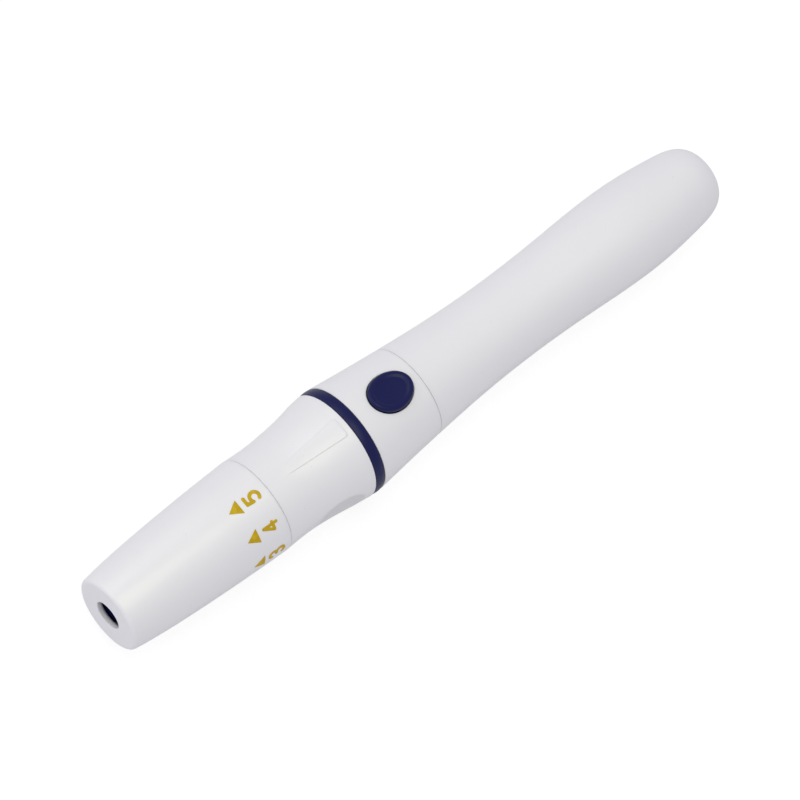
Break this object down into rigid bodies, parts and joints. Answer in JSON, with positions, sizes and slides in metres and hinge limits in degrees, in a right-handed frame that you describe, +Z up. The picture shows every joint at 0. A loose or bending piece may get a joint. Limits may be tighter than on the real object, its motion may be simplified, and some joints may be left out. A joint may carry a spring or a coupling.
{
  "type": "lancing device",
  "caption": "Pen-shaped lancing device with a turning depth dial on a pull-off cap, an oval release button and a rear handle that draws back to arm it.",
  "frame": {"origin": "under the middle of the pen's length, on the surface that its ring rests on", "axes": "+X along the pen from the tip towards the rear handle, +Z up through the button"},
  "size_m": [0.1182, 0.0178, 0.0181],
  "materials": {
    "white_shell": "semi-gloss",
    "navy_plastic": "semi-gloss",
    "gold_print": "printed",
    "inner_plastic": "matte",
    "spring_steel": "drawn wire"
  },
  "bodies": {
    "body": {"accent_ring": "navy_plastic", "nose_collar": "inner_plastic", "front_body": "white_shell", "barrel_upper": "inner_plastic", "barrel_lower": "inner_plastic", "barrel_end_plug": "inner_plastic", "spring_washer": "spring_steel", "button_spring": "spring_steel", "return_spring": "spring_steel", "drive_spring": "spring_steel", "handle_spring": "spring_steel"},
    "cap": {"cap_sleeve": "white_shell", "click_spring": "spring_steel", "dial_retainer": "inner_plastic"},
    "dial": {"depth_dial": "white_shell", "dial_marks": "gold_print"},
    "depth_stop": {"depth_stop": "navy_plastic"},
    "button": {"release_button": "navy_plastic"},
    "handle": {"rear_handle": "white_shell", "handle_puller": "inner_plastic"},
    "plunger": {"plunger": "inner_plastic", "lancet_holder": "inner_plastic", "rod_clip": "spring_steel"}
  },
  "joints": [
    {"name": "cap_pull", "type": "slide", "parent": "body", "child": "cap", "axis": [-1, 0, 0], "range_m": [0, 0.046]},
    {"name": "dial_turn", "type": "hinge", "parent": "cap", "child": "dial", "pos_m": [0, 0, 0.00894], "axis": [1, 0, 0], "range_deg": [-152, 0], "deforming": ["click_spring"]},
    {"name": "stop_shift", "type": "slide", "parent": "cap", "child": "depth_stop", "axis": [1, 0, 0], "range_m": [0, 0.0016]},
    {"name": "button_press", "type": "slide", "parent": "body", "child": "button", "axis": [0, 0, -1], "range_m": [0, 0.0008], "stiffness_N_per_m": 600, "springref_m": -0.001, "deforming": ["button_spring"]},
    {"name": "handle_pull", "type": "slide", "parent": "body", "child": "handle", "axis": [1, 0, 0], "range_m": [0, 0.0065], "stiffness_N_per_m": 300, "springref_m": -0.004, "deforming": ["handle_spring"]},
    {"name": "plunger_draw", "type": "slide", "parent": "body", "child": "plunger", "axis": [1, 0, 0], "range_m": [0, 0.0065], "deforming": ["drive_spring"]}
  ],
  "couplings": [
    {"joint": "stop_shift", "follows": "dial_turn", "m_per_rad": -0.000603},
    {"joint": "plunger_draw", "follows": "handle_pull", "ratio": 1}
  ]
}
